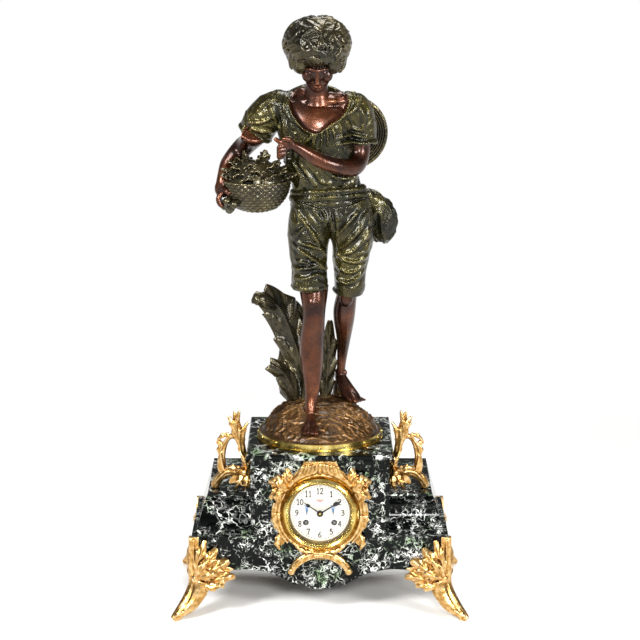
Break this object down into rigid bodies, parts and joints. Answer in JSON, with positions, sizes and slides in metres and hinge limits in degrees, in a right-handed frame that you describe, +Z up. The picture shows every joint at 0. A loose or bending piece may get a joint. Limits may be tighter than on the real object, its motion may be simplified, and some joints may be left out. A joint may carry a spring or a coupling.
{
  "type": "figural mantel clock",
  "caption": "Marble mantel clock with gilt feet, handles and dial frame, a striking movement with a short pendulum, and a patinated figure of a walking boy on top.",
  "frame": {"origin": "on the floor, in the middle of the clock's bounding box", "axes": "+Z up, the dial faces -Y, +X to the viewer's right"},
  "size_m": [0.4348, 0.2376, 0.865],
  "materials": {
    "marble": "polished",
    "gilt_mounts": "satin gilt",
    "brass": "polished",
    "steel": "plain",
    "enamel": "glossy",
    "hands": "blackened",
    "bell_metal": "polished",
    "crystal": "clear",
    "figure": "bronze patina",
    "figure_clothes": "olive bronze patina",
    "figure_straw": "green bronze patina",
    "figure_plants": "dark green patina",
    "mound": "brown patina"
  },
  "bodies": {
    "clock": {"front_panel": "marble", "plinth": "marble", "back_panel": "marble", "right_wing": "marble", "left_wing": "marble", "top_slab": "marble", "front_right_foot": "gilt_mounts", "front_left_foot": "gilt_mounts", "rear_right_foot": "gilt_mounts", "rear_left_foot": "gilt_mounts", "right_handle": "gilt_mounts", "left_handle": "gilt_mounts", "dial_surround": "gilt_mounts", "bezel_ring": "brass", "sight_ring": "brass", "case_straps": "brass", "rear_ring": "brass", "suspension_block": "brass", "mound_ring": "brass", "dial": "enamel", "front_plate": "brass", "back_plate": "brass", "bell": "bell_metal", "hinge_pins": "steel", "strap_screws": "steel", "mound_bolt": "steel", "bell_stand": "steel", "mound": "mound", "shorts": "figure_clothes", "shirt": "figure_clothes", "right_leg": "figure", "left_leg": "figure", "basket": "figure_straw", "basket_fruit": "figure_plants", "right_arm": "figure", "left_arm": "figure", "head": "figure", "hat": "figure_straw", "bag": "figure_clothes", "big_leaf": "figure_plants"},
    "centre": {"centre_wheel": "brass", "minute_hand": "hands"},
    "hour": {"hour_wheel": "brass", "hour_hand": "hands"},
    "minute_wheel": {"minute_wheel": "brass"},
    "second_wheel": {"second_wheel": "brass"},
    "going_barrel": {"going_barrel": "brass"},
    "third_wheel": {"third_wheel": "brass"},
    "escape_wheel": {"escape_wheel": "brass"},
    "going_arbor": {"going_arbor": "steel"},
    "strike_arbor": {"strike_arbor": "steel"},
    "strike_barrel": {"strike_barrel": "brass"},
    "anchor": {"anchor": "steel"},
    "pendulum": {"pendulum_rod": "steel", "pendulum_bob": "brass"},
    "hammer": {"hammer": "steel"},
    "regulator": {"regulator_arbor": "steel"},
    "bezel_door": {"bezel_door": "brass", "crystal": "crystal"},
    "rear_door": {"rear_door": "brass"}
  },
  "joints": [
    {"name": "minute_turn", "type": "hinge", "parent": "clock", "child": "centre", "pos_m": [0, 0, 0.158], "axis": [0, 1, 0], "continuous": true},
    {"name": "hour_turn", "type": "hinge", "parent": "clock", "child": "hour", "pos_m": [0, 0, 0.158], "axis": [0, 1, 0], "continuous": true},
    {"name": "minute_wheel_turn", "type": "hinge", "parent": "clock", "child": "minute_wheel", "pos_m": [0, 0, 0.168], "axis": [0, 1, 0], "continuous": true},
    {"name": "second_wheel_turn", "type": "hinge", "parent": "clock", "child": "second_wheel", "pos_m": [0.01287, 0, 0.16352], "axis": [0, 1, 0], "continuous": true},
    {"name": "going_barrel_turn", "type": "hinge", "parent": "clock", "child": "going_barrel", "pos_m": [0.0205, 0, 0.1432], "axis": [0, 1, 0], "continuous": true},
    {"name": "third_wheel_turn", "type": "hinge", "parent": "clock", "child": "third_wheel", "pos_m": [-0.00458, 0, 0.17124], "axis": [0, 1, 0], "continuous": true},
    {"name": "escape_wheel_turn", "type": "hinge", "parent": "clock", "child": "escape_wheel", "pos_m": [0, 0, 0.182], "axis": [0, 1, 0], "continuous": true},
    {"name": "going_winding", "type": "hinge", "parent": "clock", "child": "going_arbor", "pos_m": [0.0205, 0, 0.1432], "axis": [0, 1, 0], "continuous": true},
    {"name": "strike_winding", "type": "hinge", "parent": "clock", "child": "strike_arbor", "pos_m": [-0.0205, 0, 0.1432], "axis": [0, 1, 0], "continuous": true},
    {"name": "strike_barrel_turn", "type": "hinge", "parent": "clock", "child": "strike_barrel", "pos_m": [-0.0205, 0, 0.1432], "axis": [0, 1, 0], "continuous": true},
    {"name": "pendulum_swing", "type": "hinge", "parent": "clock", "child": "pendulum", "pos_m": [0, 0, 0.194], "axis": [0, 1, 0], "range_deg": [-4, 4]},
    {"name": "anchor_rock", "type": "hinge", "parent": "clock", "child": "anchor", "pos_m": [0, 0, 0.194], "axis": [0, 1, 0], "range_deg": [-4, 4]},
    {"name": "hammer_lift", "type": "hinge", "parent": "clock", "child": "hammer", "pos_m": [-0.03169, 0, 0.17093], "axis": [0, 1, 0], "range_deg": [-8, 0]},
    {"name": "regulator_turn", "type": "hinge", "parent": "clock", "child": "regulator", "pos_m": [0, 0, 0.2036], "axis": [0, 1, 0], "continuous": true},
    {"name": "bezel_door_open", "type": "hinge", "parent": "clock", "child": "bezel_door", "pos_m": [0.0552, -0.1004, 0.158], "axis": [0, 0, 1], "range_deg": [0, 100]},
    {"name": "rear_door_open", "type": "hinge", "parent": "clock", "child": "rear_door", "pos_m": [-0.0674, 0.0934, 0.158], "axis": [0, 0, 1], "range_deg": [0, 110]}
  ],
  "couplings": [
    {"joint": "hour_turn", "follows": "minute_turn", "ratio": 0.083333},
    {"joint": "minute_wheel_turn", "follows": "minute_turn", "ratio": -0.33333},
    {"joint": "second_wheel_turn", "follows": "minute_turn", "ratio": -0.16667},
    {"joint": "going_barrel_turn", "follows": "minute_turn", "ratio": 0.027778},
    {"joint": "third_wheel_turn", "follows": "minute_turn", "ratio": -6},
    {"joint": "escape_wheel_turn", "follows": "minute_turn", "ratio": 33},
    {"joint": "anchor_rock", "follows": "pendulum_swing", "ratio": 1}
  ]
}
